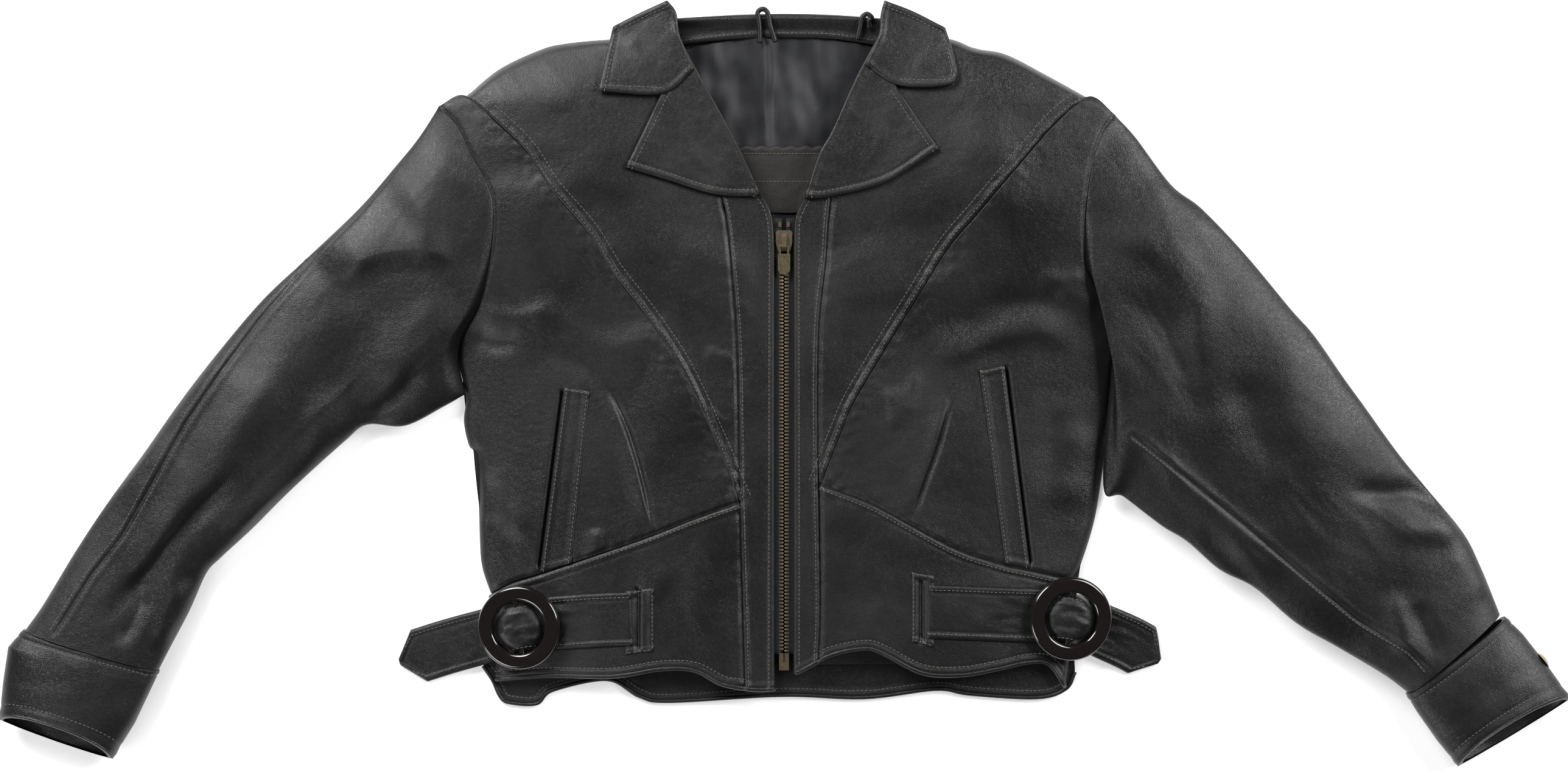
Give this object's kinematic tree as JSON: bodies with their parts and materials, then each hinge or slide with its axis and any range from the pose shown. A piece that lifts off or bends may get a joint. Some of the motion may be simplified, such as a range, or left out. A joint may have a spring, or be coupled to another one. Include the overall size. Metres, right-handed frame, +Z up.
{
  "type": "leather jacket",
  "caption": "Cropped black leather jacket lying flat: notched lapels, front zip, V seams, side belts with ring buckles, lined sleeves with button cuffs.",
  "frame": {"origin": "middle of the jacket's box on the surface that its back lies on", "axes": "+X towards the wearer's left sleeve, +Y towards the collar, +Z up out of the chest"},
  "size_m": [1.284, 0.6365, 0.046],
  "materials": {
    "black_leather": "soft satin nappa",
    "satin_lining": "sheen",
    "antique_brass": "aged satin",
    "zip_tape": "matt",
    "buckle_resin": "polished",
    "felt_pad": "matt"
  },
  "bodies": {
    "torso": {"back_panel": "black_leather", "back_waistband": "black_leather", "back_lining": "satin_lining", "inner_facing": "black_leather", "neck_facing": "black_leather", "collar_back": "black_leather", "hanger_loop": "black_leather", "left_chest_panel": "black_leather", "right_chest_panel": "black_leather", "left_side_front": "black_leather", "right_side_front": "black_leather", "left_waistband": "black_leather", "right_waistband": "black_leather", "left_placket": "black_leather", "right_placket": "black_leather", "left_front_facing": "black_leather", "right_front_facing": "black_leather", "left_front_lining": "satin_lining", "right_front_lining": "satin_lining", "left_shoulder_pad": "felt_pad", "right_shoulder_pad": "felt_pad", "left_pocket_welt": "black_leather", "right_pocket_welt": "black_leather", "left_pocket_bag": "satin_lining", "right_pocket_bag": "satin_lining", "left_zip_tape": "zip_tape", "right_zip_tape": "zip_tape", "left_zip_teeth": "antique_brass", "right_zip_teeth": "antique_brass", "zip_box": "antique_brass", "left_top_stop": "antique_brass", "right_top_stop": "antique_brass", "left_belt_slot": "black_leather", "right_belt_slot": "black_leather", "left_belt_strap": "black_leather", "right_belt_strap": "black_leather"},
    "slider": {"zip_slider": "antique_brass"},
    "pull": {"pull_tab": "antique_brass"},
    "left_ring": {"left_ring_buckle": "buckle_resin"},
    "right_ring": {"right_ring_buckle": "buckle_resin"},
    "left_revers": {"left_lapel": "black_leather", "left_collar_leaf": "black_leather"},
    "right_revers": {"right_lapel": "black_leather", "right_collar_leaf": "black_leather"},
    "left_sleeve": {"left_upper_sleeve": "black_leather", "left_under_sleeve": "black_leather", "left_sleeve_lining": "satin_lining", "left_cuff": "black_leather", "left_cuff_button": "antique_brass"},
    "right_sleeve": {"right_upper_sleeve": "black_leather", "right_under_sleeve": "black_leather", "right_sleeve_lining": "satin_lining", "right_cuff": "black_leather", "right_cuff_button": "antique_brass"}
  },
  "joints": [
    {"name": "zip_slide", "type": "slide", "parent": "torso", "child": "slider", "axis": [0, -1, 0], "range_m": [0, 0.31]},
    {"name": "pull_tab_hinge", "type": "hinge", "parent": "slider", "child": "pull", "pos_m": [0, 0.11825, 0.0246], "axis": [-1, 0, 0], "range_deg": [0, 115]},
    {"name": "left_ring_tilt", "type": "hinge", "parent": "torso", "child": "left_ring", "pos_m": [0.235, -0.187, 0.01893], "axis": [0.1392, 0.9903, 0], "range_deg": [-5, 5]},
    {"name": "right_ring_tilt", "type": "hinge", "parent": "torso", "child": "right_ring", "pos_m": [-0.217, -0.194, 0.02199], "axis": [-0.1392, 0.9903, 0], "range_deg": [-5, 5]},
    {"name": "left_lapel_lift", "type": "hinge", "parent": "torso", "child": "left_revers", "pos_m": [0.02, 0.163, 0.0264], "axis": [-0.4609, -0.8874, 0], "range_deg": [0, 75]},
    {"name": "right_lapel_lift", "type": "hinge", "parent": "torso", "child": "right_revers", "pos_m": [-0.02, 0.163, 0.0264], "axis": [-0.4609, 0.8874, 0], "range_deg": [0, 75]},
    {"name": "left_sleeve_swing", "type": "hinge", "parent": "torso", "child": "left_sleeve", "pos_m": [0.38, 0.135, 0.0125], "axis": [0, 0, 1], "range_deg": [-8, 14]},
    {"name": "right_sleeve_swing", "type": "hinge", "parent": "torso", "child": "right_sleeve", "pos_m": [-0.38, 0.135, 0.0125], "axis": [0, 0, -1], "range_deg": [-8, 14]}
  ]
}
